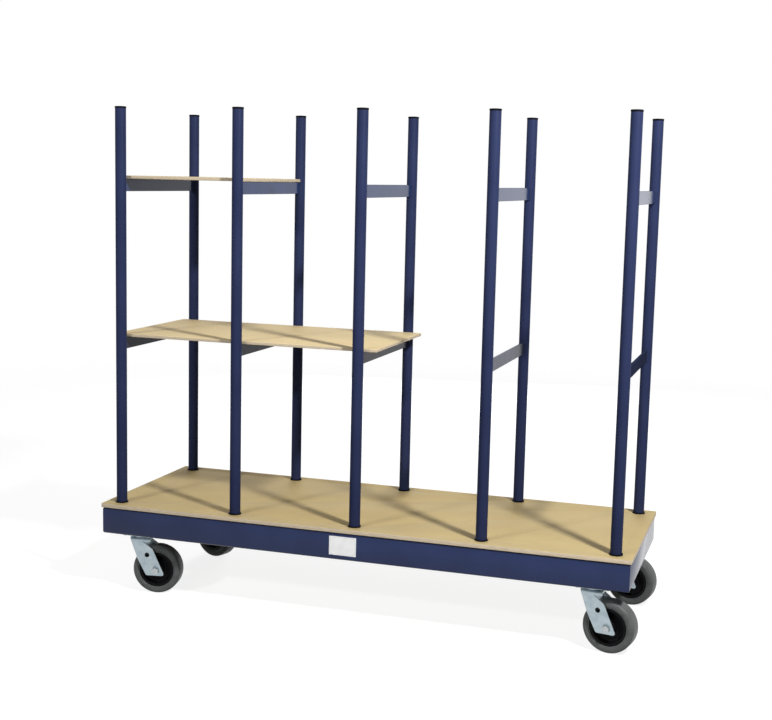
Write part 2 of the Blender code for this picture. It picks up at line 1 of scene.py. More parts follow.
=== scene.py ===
# %% [markdown]
# # Dressing a parts cart
# This cart is a low deck on four swivel casters. Five tube frames stand in sockets along the deck and lift
# out, and two loose boards lie across their bars as shelves. The solids come ready packed, at their real
# size and place. This lesson gives each one its finish, and adds what a solid model leaves out: weld
# beads, end caps, bolts and the fine shape of the wheels. No solid is moved or resized.

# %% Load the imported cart
import json
import math

import bmesh
import bpy
from mathutils import Matrix, Vector

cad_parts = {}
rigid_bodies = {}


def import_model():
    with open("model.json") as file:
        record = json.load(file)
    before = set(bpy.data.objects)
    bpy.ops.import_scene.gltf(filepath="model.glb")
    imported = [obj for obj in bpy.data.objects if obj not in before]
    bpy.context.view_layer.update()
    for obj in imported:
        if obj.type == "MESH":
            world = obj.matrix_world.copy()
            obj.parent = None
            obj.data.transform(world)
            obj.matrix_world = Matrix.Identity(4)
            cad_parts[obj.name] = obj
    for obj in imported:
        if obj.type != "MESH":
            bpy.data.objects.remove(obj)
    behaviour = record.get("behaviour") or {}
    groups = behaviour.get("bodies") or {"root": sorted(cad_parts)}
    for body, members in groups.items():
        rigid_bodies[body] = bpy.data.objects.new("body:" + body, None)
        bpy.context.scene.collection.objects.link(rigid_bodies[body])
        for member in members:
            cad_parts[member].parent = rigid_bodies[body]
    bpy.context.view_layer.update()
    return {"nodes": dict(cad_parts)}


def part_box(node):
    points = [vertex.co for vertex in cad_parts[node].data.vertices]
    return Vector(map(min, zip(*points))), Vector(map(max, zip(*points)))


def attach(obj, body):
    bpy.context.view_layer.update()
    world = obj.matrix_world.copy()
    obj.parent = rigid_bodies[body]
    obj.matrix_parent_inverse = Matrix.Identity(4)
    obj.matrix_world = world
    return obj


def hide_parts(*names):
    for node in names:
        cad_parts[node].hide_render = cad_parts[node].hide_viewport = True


for leftover in list(bpy.data.objects):
    bpy.data.objects.remove(leftover)

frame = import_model()
nodes = frame["nodes"]

# %% [markdown]
# ## The camera
# A catalogue picture of a long cart is taken from well back with a long lens, so that both ends keep their
# height. The place and angles below were found by lining up the feet and tops of the posts. The camera was
# also tipped a little over one degree, which a track-to constraint would lose, so its matrix is put
# together from one move and three plain turns instead.

# %% Camera
PICTURE_WIDTH = 772                                 # pixels
FOCAL_LENGTH = 1322.7                               # pixels
SENSOR_WIDTH = 36.0                                 # millimetres
DECK_X = sum(corner.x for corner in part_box("deck_board")) / 2
CAMERA_PLACE = Vector((DECK_X + 1.2360, -3.8626, 1.3099))
CAMERA_HEADING = math.radians(17.661)               # to the left of +Y
CAMERA_DIP = math.radians(7.825)                    # below the horizon
CAMERA_ROLL = math.radians(1.332)

lens = bpy.data.cameras.new("camera")
lens.sensor_width = SENSOR_WIDTH
lens.lens = FOCAL_LENGTH * SENSOR_WIDTH / PICTURE_WIDTH
camera = bpy.data.objects.new("camera", lens)
heading = Matrix.Rotation(CAMERA_HEADING, 4, "Z")
dip = Matrix.Rotation(math.pi / 2 - CAMERA_DIP, 4, "X")
roll = Matrix.Rotation(CAMERA_ROLL, 4, "Z")
camera.matrix_world = Matrix.Translation(CAMERA_PLACE) @ heading @ dip @ roll
bpy.context.scene.collection.objects.link(camera)
bpy.context.scene.camera = camera
print("lens: %.1f mm" % lens.lens)

# %% [markdown]
# ## Adding nodes
# The studio and every finish are small graphs of nodes. Wired one link at a time, a graph takes many lines
# that hide what it is for. So one helper adds a node and fills its inputs in the same line, each from a
# number, a colour or another node's output.

# %% Node helper
def add_node(tree, kind, inputs=(), **settings):
    """Adds a shader node; an input's value is a number, a colour or another node's output."""
    made = tree.nodes.new("ShaderNode" + kind)
    for name, value in settings.items():
        setattr(made, name, value)
    for name, value in dict(inputs).items():
        if isinstance(value, bpy.types.NodeSocket):
            tree.links.new(value, made.inputs[name])
        else:
            made.inputs[name].default_value = value
    return made


print("node helper ready")

# %% [markdown]
# ## The studio
# A catalogue picture has a pure white ground. Lighting a wall until it burns out would also wash out the
# cart, so the white belongs to the surroundings alone: rays that look at the world see white, and rays
# that light the cart get a softer grey.

# %% World
AMBIENT_LEVEL = 0.14
WHITE = (1.0, 1.0, 1.0, 1.0)


def seen_directly(tree):
    """1 for a ray that shows the surroundings: to the camera, in a reflection or through glass."""
    path = add_node(tree, "LightPath").outputs
    rays = {0: path["Is Camera Ray"], 1: path["Is Glossy Ray"]}
    camera_or_gloss = add_node(tree, "Math", rays, operation="MAXIMUM").outputs[0]
    rays = {0: camera_or_gloss, 1: path["Is Transmission Ray"]}
    return add_node(tree, "Math", rays, operation="MAXIMUM").outputs[0]


scene = bpy.context.scene
scene.view_settings.view_transform = "Standard"
world = bpy.data.worlds.new("studio")
world.use_nodes = True
scene.world = world
sky = world.node_tree
sky.nodes.clear()
grey_sky = add_node(sky, "Background", {"Color": WHITE, "Strength": AMBIENT_LEVEL}).outputs[0]
white_sky = add_node(sky, "Background", {"Color": WHITE, "Strength": 1.0}).outputs[0]
whole_sky = add_node(sky, "MixShader", {0: seen_directly(sky), 1: grey_sky, 2: white_sky})
add_node(sky, "OutputWorld", {"Surface": whole_sky.outputs[0]})
print("light from all round:", AMBIENT_LEVEL)

# %% [markdown]
# The floor works the same way: it glows nearly white for the rays that look at it, and is a matt grey for
# the light that falls on it, so the cart's shadow still shows. A plain disc would end in a hard line, so
# this one fades out before its rim. It has only one side, so that a camera below it still sees the
# underside of the cart.

# %% Floor
FLOOR_RADIUS = 6.0
FLOOR_SIDES = 64
FLOOR_GLOW = 0.84                                   # what the floor shows without any lamp
FLOOR_GREY = (0.30, 0.30, 0.30, 1.0)
FADE_START = 0.45 * FLOOR_RADIUS
FADE_END = 0.95 * FLOOR_RADIUS


def floor_finish():
    material = bpy.data.materials.new("pale_floor")
    material.use_nodes = True
    tree = material.node_tree
    tree.nodes.clear()
    place = add_node(tree, "TexCoord").outputs["Object"]
    reach = add_node(tree, "VectorMath", {0: place}, operation="LENGTH").outputs["Value"]
    rim = {"Value": reach, "From Min": FADE_START, "From Max": FADE_END}
    fade = add_node(tree, "MapRange", rim, interpolation_type="SMOOTHSTEP").outputs["Result"]
    below = add_node(tree, "NewGeometry").outputs["Backfacing"]
    unseen = add_node(tree, "Math", {0: fade, 1: below}, operation="MAXIMUM").outputs[0]
    matt = add_node(tree, "BsdfDiffuse", {"Color": FLOOR_GREY})
    glow_level = add_node(tree, "Math", {0: seen_directly(tree), 1: FLOOR_GLOW}, operation="MULTIPLY")
    glow = add_node(tree, "Emission", {"Strength": glow_level.outputs[0]})
    lit = add_node(tree, "AddShader", {0: matt.outputs[0], 1: glow.outputs[0]})
    clear = add_node(tree, "BsdfTransparent")
    mixed = add_node(tree, "MixShader", {0: unseen, 1: lit.outputs[0], 2: clear.outputs[0]})
    add_node(tree, "OutputMaterial", {"Surface": mixed.outputs[0]})
    return material


floor_mesh = bpy.data.meshes.new("floor")
floor_disc = bmesh.new()
bmesh.ops.create_circle(floor_disc, cap_ends=True, segments=FLOOR_SIDES, radius=FLOOR_RADIUS)
floor_disc.to_mesh(floor_mesh)
floor_disc.free()
floor_mesh.materials.append(floor_finish())
floor = bpy.data.objects.new("floor", floor_mesh)
scene.collection.objects.link(floor)
print("floor: %.0f m across" % (2 * FLOOR_RADIUS))

# %% [markdown]
# Shadows tell where the lamps stood. Each post throws a strong shadow to the back left, and the shadows fan
# out along the deck, so their lamp was close: lines drawn back along them meet a little over two metres to
# the right. A second, fainter fan comes from further off, to the front left. Both lamps are small, so the
# shadows stay narrow. A wide, weak lamp behind the cart fills its far side. These last two are kept out of
# reflections, or they would draw a streak along the rail's bent edge and a glare on the deck.

# %% Lamps
LAMP_TARGET = Vector((0.0, 0.0, 0.3))


def add_lamp(name, place, size, level):
    """A square lamp aimed at the deck; at level 1 alone, a surface that faces it shows its own colour."""
    away = Vector(place) - LAMP_TARGET
    light = bpy.data.lights.new(name, "AREA")
    light.size = size
    light.energy = level * (math.pi * away.length) ** 2
    lamp = bpy.data.objects.new(name, light)
    lamp.location = place
    lamp.rotation_euler = away.to_track_quat("Z", "Y").to_euler()
    scene.collection.objects.link(lamp)
    return lamp


add_lamp("main_lamp", place=(2.14, -1.74, 3.0), size=0.28, level=0.98)
side_lamp = add_lamp("side_lamp", place=(-2.1, -3.95, 2.6), size=0.28, level=0.30)
side_lamp.visible_glossy = False
back_lamp = add_lamp("back_lamp", place=(-0.9, 4.3, 1.1), size=2.0, level=0.50)
back_lamp.visible_glossy = False
print("lamps:", [light.name for light in bpy.data.lights])

# %% [markdown]
# ## Finishes
# Each finish is a Principled shader with its detail driven by noise in object space. Object space moves
# with the piece, so the grain stays put when a frame is lifted or a wheel turns. Numbers that are the same
# all over a surface are set on the shader's own sockets.

# %% Start of every finish
def start_finish(name, **sockets):
    """A Principled material, with the object-space place that its textures use."""
    material = bpy.data.materials.new(name)
    material.use_nodes = True
    tree = material.node_tree
    shader = tree.nodes["Principled BSDF"]
    for socket, value in sockets.items():
        shader.inputs[socket.replace("_", " ")].default_value = value
    place = add_node(tree, "TexCoord").outputs["Object"]
    return material, tree, shader, place


print("finish helper ready")

# %% [markdown]
# Some steps come back in every finish. A ramp turns noise into colours, bump gives the surface its grain,
# and the roughness wanders between two levels, because no real surface shines evenly all over. They could
# be one node group, but plain functions are easier to follow and leave the shader's sockets in view.

# %% Texture helpers
def add_ramp(tree, factor, stops):
    """A colour ramp between two stops; each stop is a position and a colour or a grey."""
    ramp = add_node(tree, "ValToRGB", {"Fac": factor})
    for element, (position, colour) in zip(ramp.color_ramp.elements, stops):
        element.position = position
        if isinstance(colour, float):
            colour = (colour, colour, colour)
        element.color = (*colour, 1.0)
    return ramp.outputs["Color"]


def add_noise(tree, place, scale, detail, roughness=0.5):
    """Noise with about that many lumps to the metre; detail and roughness add finer lumps on them."""
    settings = {"Vector": place, "Scale": scale, "Detail": detail, "Roughness": roughness}
    return add_node(tree, "TexNoise", settings).outputs["Fac"]


def link_bump(tree, shader, height, strength, distance):
    settings = {"Height": height, "Strength": strength, "Distance": distance}
    bump = add_node(tree, "Bump", settings)
    tree.links.new(bump.outputs["Normal"], shader.inputs["Normal"])


def link_roughness(tree, shader, factor, roughness):
    smoothest, roughest = roughness
    level = add_node(tree, "MapRange", {"Value": factor, "To Min": smoothest, "To Max": roughest})
    tree.links.new(level.outputs["Result"], shader.inputs["Roughness"])


print("texture helpers ready")

# %% [markdown]
# Navy enamel is sprayed on and cures with a faint orange peel. The colour is nearly even, a little deeper
# where the coat lies thick, and the coat is thinnest along sharp edges, where handling rubs it paler. The
# Bevel node finds those edges: it rounds the normal near an edge, and where the rounded normal differs from
# the true one, an edge is close. The rails and top bars shine, and mirror the white surroundings at a low
# angle. The top bars get a lighter copy of the navy, which is painted light for the extra light they catch.
# The posts are greyer and hardly shine. The middle bars have a satin coat, and the one on the last frame is
# rubbed quite matt, so one recipe makes five coats.

# %% Navy enamel
GLOSSY_THICK = (0.0115, 0.0220, 0.0790)
GLOSSY_THIN = (0.0165, 0.0305, 0.1030)
# painted light: a lighter copy of the navy, for the extra light that the top bars catch
LIT_BAR_THICK = (0.0150, 0.0330, 0.1050)
LIT_BAR_THIN = (0.0205, 0.0430, 0.1320)
DULL_THICK = (0.0216, 0.0292, 0.0760)
DULL_THIN = (0.0274, 0.0362, 0.0920)
MATT_THICK = (0.0215, 0.0270, 0.0560)
MATT_THIN = (0.0270, 0.0335, 0.0680)
NAVY_RUBBED = (0.050, 0.070, 0.160)
RUBBED_EDGE = 0.0012                                # metres from the edge


def navy_enamel(name, thick, thin, gloss, roughness):
    material, tree, shader, place = start_finish(name, Specular_IOR_Level=gloss)
    clouds = add_noise(tree, place, scale=7.0, detail=4.0)
    coat = add_ramp(tree, clouds, [(0.30, thick), (0.70, thin)])
    eased = add_node(tree, "Bevel", {"Radius": RUBBED_EDGE}, samples=4).outputs["Normal"]
    true = add_node(tree, "NewGeometry").outputs["Normal"]
    match = add_node(tree, "VectorMath", {0: eased, 1: true}, operation="DOT_PRODUCT").outputs["Value"]
    edge = add_ramp(tree, match, [(0.80, 1.0), (0.97, 0.0)])
    blotches = add_noise(tree, place, scale=35.0, detail=6.0, roughness=0.65)
    patch = add_ramp(tree, blotches, [(0.45, 0.0), (0.62, 1.0)])
    rub = add_node(tree, "Math", {0: edge, 1: patch}, operation="MULTIPLY").outputs[0]
    colour = add_node(tree, "MixRGB", {"Fac": rub, "Color1": coat, "Color2": (*NAVY_RUBBED, 1.0)})
    tree.links.new(colour.outputs[0], shader.inputs["Base Color"])
    sheen = add_noise(tree, place, scale=22.0, detail=3.0)
    link_roughness(tree, shader, sheen, roughness)
    orange_peel = add_noise(tree, place, scale=260.0, detail=1.0)
    link_bump(tree, shader, orange_peel, strength=0.012, distance=0.0004)
    return material


GLOSSY_NAVY = navy_enamel("glossy_navy", GLOSSY_THICK, GLOSSY_THIN, gloss=0.22, roughness=(0.12, 0.16))
# the top bars' coat is a lighter copy of the navy: painted light for the light they catch
LIT_BAR_NAVY = navy_enamel("lit_bar_navy", LIT_BAR_THICK, LIT_BAR_THIN, gloss=0.24, roughness=(0.13, 0.18))
DULL_NAVY = navy_enamel("dull_navy", DULL_THICK, DULL_THIN, gloss=0.02, roughness=(0.36, 0.50))
SATIN_NAVY = navy_enamel("satin_navy", MATT_THICK, MATT_THIN, gloss=0.09, roughness=(0.20, 0.28))
MATT_NAVY = navy_enamel("matt_navy", MATT_THICK, MATT_THIN, gloss=0.0, roughness=(0.60, 0.75))
for coat in (GLOSSY_NAVY, LIT_BAR_NAVY, DULL_NAVY, SATIN_NAVY, MATT_NAVY):
    print("finish:", coat.name)

# %% [markdown]
# The deck and shelves are plain fibre board: a tan face pressed smooth, with short fibres lying every way
# and a few dark specks, and a greyer sawn edge with the layers of the board running along it. Face and edge
# could be two materials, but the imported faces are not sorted, so one material tells them apart by the
# direction that each face looks. The shelves were cut from a paler sheet, so the recipe takes the two
# colours of the face.

# %% Tan board
DECK_DARK = (0.430, 0.329, 0.153)
DECK_LIGHT = (0.546, 0.424, 0.209)
SHELF_DARK = (0.635, 0.500, 0.268)
SHELF_LIGHT = (0.795, 0.640, 0.372)
BOARD_SPECK = (0.300, 0.210, 0.095)
BOARD_EDGE_DARK = (0.480, 0.390, 0.270)
BOARD_EDGE_LIGHT = (0.630, 0.530, 0.390)
FIBRES_ALONG = (180.0, 1100.0, 600.0)               # lumps to the metre along X, Y and Z
FIBRES_ACROSS = (1100.0, 180.0, 600.0)
LAYERS_OF_BOARD = (60.0, 60.0, 900.0)


def stretched_noise(tree, place, scales, detail):
    stretch = add_node(tree, "VectorMath", {0: place, 1: scales}, operation="MULTIPLY")
    return add_noise(tree, stretch.outputs["Vector"], scale=1.0, detail=detail)


def fibre_board(name, dark, light):
    material, tree, shader, place = start_finish(name, Specular_IOR_Level=0.30)
    along = stretched_noise(tree, place, FIBRES_ALONG, detail=3.0)
    across = stretched_noise(tree, place, FIBRES_ACROSS, detail=3.0)
    fibres = add_node(tree, "Math", {0: along, 1: across}, operation="MAXIMUM").outputs[0]
    clouds = add_noise(tree, place, scale=3.5, detail=5.0, roughness=0.6)
    tone = add_node(tree, "Math", {0: fibres, 1: clouds}, operation="MULTIPLY").outputs[0]
    face = add_ramp(tree, tone, [(0.18, dark), (0.42, light)])
    chips = add_noise(tree, place, scale=260.0, detail=4.0, roughness=0.7)
    specks = add_ramp(tree, chips, [(0.66, 0.0), (0.74, 1.0)])
    specked = add_node(tree, "MixRGB", {"Fac": specks, "Color1": face, "Color2": (*BOARD_SPECK, 1.0)})
    layers = stretched_noise(tree, place, LAYERS_OF_BOARD, detail=4.0)
    sawn = add_ramp(tree, layers, [(0.30, BOARD_EDGE_DARK), (0.65, BOARD_EDGE_LIGHT)])
    looks = add_node(tree, "SeparateXYZ", {0: add_node(tree, "NewGeometry").outputs["Normal"]})
    upright = add_node(tree, "Math", {0: looks.outputs["Z"]}, operation="ABSOLUTE").outputs[0]
    is_face = add_ramp(tree, upright, [(0.35, 0.0), (0.60, 1.0)])
    colour = add_node(tree, "MixRGB", {"Fac": is_face, "Color1": sawn, "Color2": specked.outputs[0]})
    tree.links.new(colour.outputs[0], shader.inputs["Base Color"])
    link_roughness(tree, shader, clouds, roughness=(0.52, 0.70))
    link_bump(tree, shader, fibres, strength=0.18, distance=0.0003)
    return material


DECK_BOARD = fibre_board("deck_board", DECK_DARK, DECK_LIGHT)
SHELF_BOARD = fibre_board("shelf_board", SHELF_DARK, SHELF_LIGHT)
print("finishes:", DECK_BOARD.name, SHELF_BOARD.name)

# %% [markdown]
# The caster forks are zinc plated: a pale, slightly blue metal with a cloudy bloom and fine tumbling marks.
# The axle bolts are plated too, but smoother. A pale grey paint would come close from one side only. Both
# are full metals instead, so the white surroundings give them their brightness.

# %% Zinc and bright steel
ZINC_BLUE = (0.30, 0.365, 0.405)
ZINC_PALE = (0.41, 0.475, 0.500)
STEEL_DARK = (0.33, 0.355, 0.37)
STEEL_LIGHT = (0.44, 0.465, 0.475)
TUMBLING_MARKS = (900.0, 900.0, 220.0)              # lumps to the metre along X, Y and Z


def plated_metal(name, dark, light, roughness):
    material, tree, shader, place = start_finish(name, Metallic=1.0)
    bloom = add_noise(tree, place, scale=45.0, detail=5.0, roughness=0.6)
    colour = add_ramp(tree, bloom, [(0.32, dark), (0.68, light)])
    tree.links.new(colour, shader.inputs["Base Color"])
    sheen = add_noise(tree, place, scale=120.0, detail=4.0)
    link_roughness(tree, shader, sheen, roughness)
    marks = stretched_noise(tree, place, TUMBLING_MARKS, detail=3.0)
    link_bump(tree, shader, marks, strength=0.06, distance=0.0002)
    return material


ZINC = plated_metal("zinc_plate", ZINC_BLUE, ZINC_PALE, roughness=(0.30, 0.46))
STEEL = plated_metal("bright_steel", STEEL_DARK, STEEL_LIGHT, roughness=(0.22, 0.34))
print("finishes:", ZINC.name, STEEL.name)

# %% [markdown]
# The tyres are grey rubber moulded onto a black core. Rubber is dull, with a fine grain and a film of dust.
# The core and the post caps are black mouldings, duller still, and the sockets are near black and matt. They
# differ only in colour, gloss and grain, so one recipe serves all four.

# %% Rubber and black mouldings
RUBBER_DARK = (0.083, 0.088, 0.087)
RUBBER_LIGHT = (0.121, 0.127, 0.125)
CORE_DARK = (0.003, 0.003, 0.004)
CORE_LIGHT = (0.006, 0.006, 0.007)
SOCKET_DARK = (0.003, 0.003, 0.004)
SOCKET_LIGHT = (0.007, 0.007, 0.008)
CAP_DARK = (0.004, 0.004, 0.004)
CAP_LIGHT = (0.008, 0.008, 0.009)


def moulded(name, dark, light, gloss, roughness, grain):
    material, tree, shader, place = start_finish(name, Specular_IOR_Level=gloss)
    dust = add_noise(tree, place, scale=30.0, detail=6.0, roughness=0.65)
    colour = add_ramp(tree, dust, [(0.30, dark), (0.72, light)])
    tree.links.new(colour, shader.inputs["Base Color"])
    sheen = add_noise(tree, place, scale=60.0, detail=3.0)
    link_roughness(tree, shader, sheen, roughness)
    pores = add_noise(tree, place, scale=grain, detail=3.0)
    link_bump(tree, shader, pores, strength=0.12, distance=0.0003)
    return material


RUBBER = moulded("grey_rubber", RUBBER_DARK, RUBBER_LIGHT, gloss=0.10, roughness=(0.30, 0.42), grain=900.0)
CORE = moulded("black_core", CORE_DARK, CORE_LIGHT, gloss=0.06, roughness=(0.34, 0.48), grain=500.0)
SOCKET = moulded("socket_black", SOCKET_DARK, SOCKET_LIGHT, gloss=0.04, roughness=(0.45, 0.60), grain=600.0)
CAP = moulded("cap_black", CAP_DARK, CAP_LIGHT, gloss=0.03, roughness=(0.45, 0.60), grain=1200.0)
print("finishes:", RUBBER.name, CORE.name, SOCKET.name, CAP.name)

# %% [markdown]
# ## Finishing the solids
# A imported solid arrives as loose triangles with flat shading. Its mesh stays as it is, and modifiers do the
# work on top. The last of them is a small node group that shades curved stretches smooth, while the true
# creases stay sharp. Blender's own shade-by-angle command does the same, but it writes into the mesh.

# %% Crease shading
CREASE_ANGLE = math.radians(35)


def crease_shading():
    """A node group that shades a mesh smooth except where its faces meet at more than the crease angle."""
    group = bpy.data.node_groups.new("crease_shading", "GeometryNodeTree")
    group.interface.new_socket("Mesh", in_out="INPUT", socket_type="NodeSocketGeometry")
    group.interface.new_socket("Mesh", in_out="OUTPUT", socket_type="NodeSocketGeometry")
    start = group.nodes.new("NodeGroupInput")
    end = group.nodes.new("NodeGroupOutput")
    angle = group.nodes.new("GeometryNodeInputMeshEdgeAngle")
    steep = group.nodes.new("FunctionNodeCompare")
    steep.operation = "GREATER_THAN"
    steep.inputs["B"].default_value = CREASE_ANGLE
    shade = group.nodes.new("GeometryNodeSetMeshNormal")
    shade.inputs["Remove Custom"].default_value = True
    group.links.new(angle.outputs["Unsigned Angle"], steep.inputs["A"])
    group.links.new(start.outputs["Mesh"], shade.inputs["Mesh"])
    group.links.new(steep.outputs["Result"], shade.inputs["Edge Sharpness"])
    group.links.new(shade.outputs["Mesh"], end.inputs["Mesh"])
    return group


CREASES = crease_shading()
print("nodes in the shading group:", len(CREASES.nodes))

# %% [markdown]
# The other modifiers come before it: Weld joins the triangles, a planar Decimate turns them back into whole
# faces, and Bevel eases the sharp edges, so that they catch a thin line of light as real ones do. The order
# matters, because Bevel works only on edges that two faces share.

# %% Finish of one solid
WELD_DISTANCE = 0.00001
FLAT_ANGLE = math.radians(0.4)
EASE_STEPS = 2


def finish_solid(solid, material, eased):
    """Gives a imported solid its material, eased edges of that width and smooth curves."""
    solid.material_slots[0].material = material
    weld = solid.modifiers.new("weld", "WELD")
    weld.merge_threshold = WELD_DISTANCE
    whole_faces = solid.modifiers.new("whole_faces", "DECIMATE")
    whole_faces.decimate_type = "DISSOLVE"
    whole_faces.angle_limit = FLAT_ANGLE
    if eased:
        ease = solid.modifiers.new("eased_edges", "BEVEL")
        ease.width = eased
        ease.segments = EASE_STEPS
        ease.limit_method = "ANGLE"
        ease.angle_limit = CREASE_ANGLE
    shading = solid.modifiers.new("creases", "NODES")
    shading.node_group = CREASES


print("weld distance: %.2f mm" % (1000 * WELD_DISTANCE))

# %% [markdown]
# A table says what each family of solids is made of, and how far its edges are eased. Where two of its names
# fit a solid, the longer one counts, so the last middle bar gets a coat of its own. The wheels and axles
# aren't in the table, because finer pieces take their place further on.

# %% Finish all the solids
EASED_FORK = 0.0007                                 # widths of the eased edges
EASED_SHEET = 0.0006
EASED_TUBE = 0.0004
EASED_BOARD = 0.0004
EASED_RING = 0.0003
SHARP = 0.0

SOLID_FINISHES = {
    "rail": (GLOSSY_NAVY, EASED_SHEET),
    "caster_pad": (GLOSSY_NAVY, EASED_SHEET),
    "post": (DULL_NAVY, EASED_TUBE),
    "mid_bar": (SATIN_NAVY, SHARP),
    "mid_bar_5": (MATT_NAVY, SHARP),
    # a lighter navy on the top bars: painted light
    "top_bar": (LIT_BAR_NAVY, SHARP),
    "socket_cross_member": (SOCKET, EASED_RING),
    "deck_board": (DECK_BOARD, EASED_BOARD),
    "shelf": (SHELF_BOARD, EASED_BOARD),
    "caster_plate": (ZINC, EASED_SHEET),
    "caster_fork": (ZINC, EASED_FORK),
    "wheel_bush": (STEEL, EASED_RING),
}
finished = 0
for name, solid in nodes.items():
    families = [family for family in SOLID_FINISHES if family in name]
    if families:
        finish_solid(solid, *SOLID_FINISHES[max(families, key=len)])
        finished += 1
print("solids finished:", finished, "of", len(nodes))

# %% [markdown]
# ## Skins over rings
# Every piece below is a skin stretched over a row of rings: circles for turned pieces, hexagons for bolt
# heads, small circles along a path for weld beads, and rounded rectangles for the label. A Screw modifier
# could turn the round ones, and a bevelled curve could draw the beads, but then each kind would need its
# own way of closing its ends.

# %% Skins
def add_skin(editable, rings, closed):
    """Stretches faces over a row of rings; a closed row meets itself, and an open one gets flat ends."""
    loops = [[editable.verts.new(point) for point in ring] for ring in rings]
    pairs = list(zip(loops, loops[1:]))
    if closed:
        pairs.append((loops[-1], loops[0]))
    for one, two in pairs:
        for here in range(len(one)):
            after = (here + 1) % len(one)
            editable.faces.new((one[here], one[after], two[after], two[here]))
    if not closed:
        editable.faces.new(loops[0])
        editable.faces.new(loops[-1])


def turned(profile, sides):
    """Rings about Z from (radius, height) points."""
    turns = [2 * math.pi * side / sides for side in range(sides)]
    rings = []
    for radius, height in profile:
        rings.append([(radius * math.cos(turn), radius * math.sin(turn), height) for turn in turns])
    return rings


print("skin helpers ready")

# %% [markdown]
# A piece is one or more skins in one mesh, so that the beads of a frame, or the bolts of a caster, need only
# one name. The helper sets the skins in place, shades them smooth up to the crease angle, gives the piece its
# material and lets it ride on the body that carries it.

# %% Pieces
PIECE_CREASE = math.radians(28)                     # just under the chamfer of a bolt head


def make_piece(name, skins, material, body, place=Matrix.Identity(4)):
    """One mesh from several skins; a skin is (rings, closed)."""
    editable = bmesh.new()
    for rings, closed in skins:
        placed = [[place @ Vector(point) for point in ring] for ring in rings]
        add_skin(editable, placed, closed)
    bmesh.ops.recalc_face_normals(editable, faces=editable.faces)
    mesh = bpy.data.meshes.new(name)
    editable.to_mesh(mesh)
    editable.free()
    mesh.shade_smooth()
    mesh.set_sharp_from_angle(angle=PIECE_CREASE)
    mesh.materials.append(material)
    piece = bpy.data.objects.new(name, mesh)
    scene.collection.objects.link(piece)
    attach(piece, body)
    return piece


def middle(name):
    """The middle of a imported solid's box."""
    low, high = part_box(name)
    return (low + high) / 2


print("piece helpers ready")

# %% [markdown]
# ## Post caps
# Each post ends in a black plastic cap that slips over the tube. Its short skirt shows as a thin dark line,
# a little wider than the tube, and its top is a low dome, so that it sheds dust. A flat disc would do from
# far off, but its hard edge would glint. The shoulder and the dome are a few points each, measured from the
# rim, so the cap fits whatever tube it finds.

# %% Post caps
FRAME_NUMBERS = range(1, 6)
CAP_PLAY = 0.0001                                   # between the cap and the tube
CAP_WALL = 0.0006
CAP_SKIRT = 0.0032                                  # down over the tube's outside
CAP_HEIGHT = 0.0026
CAP_SIDES = 48
CAP_FLAT = 0.2                                      # flat middle, as a share of the rim
CAP_SHOULDER = [(0.0, 0.40), (0.0005, 0.65), (0.0018, 0.80)]     # metres inside the rim, share of the height
CAP_DOME = [(0.6, 0.95), (CAP_FLAT, 1.0)]           # share of the rim, share of the height

for number in FRAME_NUMBERS:
    for row in ("front", "rear"):
        post = f"post_{row}_{number}"
        low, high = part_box(post)
        bore = (high.x - low.x) / 2 + CAP_PLAY
        rim = bore + CAP_WALL
        profile = [(CAP_FLAT * rim, CAP_PLAY), (bore, CAP_PLAY), (bore, -CAP_SKIRT), (rim, -CAP_SKIRT)]
        profile += [(rim - inside, rise * CAP_HEIGHT) for inside, rise in CAP_SHOULDER]
        profile += [(reach * rim, rise * CAP_HEIGHT) for reach, rise in CAP_DOME]
        seat = Matrix.Translation((middle(post).x, middle(post).y, high.z))
        cap = [(turned(profile, CAP_SIDES), False)]
        make_piece(f"post_cap_{row}_{number}", cap, CAP, f"frame_{number}", seat)
print("post caps:", 2 * len(FRAME_NUMBERS))

# %% [markdown]
# ## Wheels
# Each wheel is a grey rubber tyre moulded round a black core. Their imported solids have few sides, so each is
# replaced by a turned piece with the same reach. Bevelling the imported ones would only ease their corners.
# Instead the section is drawn as a few corners with a radius each, and swept round the axle. This helper
# turns such corners into arcs, and a second one mirrors the corners of one face to the other.

# %% Sections with round corners
ARC_STEPS = 6


def rounded(corners):
    """A closed outline of (across, along, radius) corners, each turned into an arc of that radius."""
    outline = []
    for here, (across, along, radius) in enumerate(corners):
        corner = Vector((across, along))
        back = (Vector(corners[here - 1][:2]) - corner).normalized()
        ahead = (Vector(corners[(here + 1) % len(corners)][:2]) - corner).normalized()
        half_angle = back.angle(ahead) / 2
        centre = corner + (back + ahead).normalized() * radius / math.sin(half_angle)
        first = corner + back * radius / math.tan(half_angle) - centre
        last = corner + ahead * radius / math.tan(half_angle) - centre
        for step in range(ARC_STEPS + 1):
            outline.append(centre + first.lerp(last, step / ARC_STEPS).normalized() * radius)
    return outline


def mirrored(half):
    """A section's corners for both faces of a wheel, from the corners on one face."""
    return half + [(across, -along, radius) for across, along, radius in reversed(half)]


print("steps in a round corner:", ARC_STEPS)

# %% [markdown]
# The tyre has a lip that grips the core, a shallow groove round the lip, a flat sidewall, a soft shoulder
# and a slightly crowned tread. The groove could be a dark line in the material, but as a real groove it
# shades itself from every side. The tread's crown is one corner with a very large radius.

# %% Tyre section
EDGE_ROUND = 0.0008
LIP_WIDTH = 0.0030
LIP_ROUND = 0.0010
LIP_INNER_DROP = 0.0018                             # drops are below the sidewall
LIP_OUTER_DROP = 0.0006
GROOVE_REACH = 0.0040                               # from the core
GROOVE_DROP = 0.0014
GROOVE_ROUND = 0.0004
SIDEWALL_REACH = 0.0052                             # from the core
SHOULDER_DROP = 0.0006                              # below the crown of the tread
SHOULDER_ROUND = 0.0095
CROWN_ROUND = 0.12


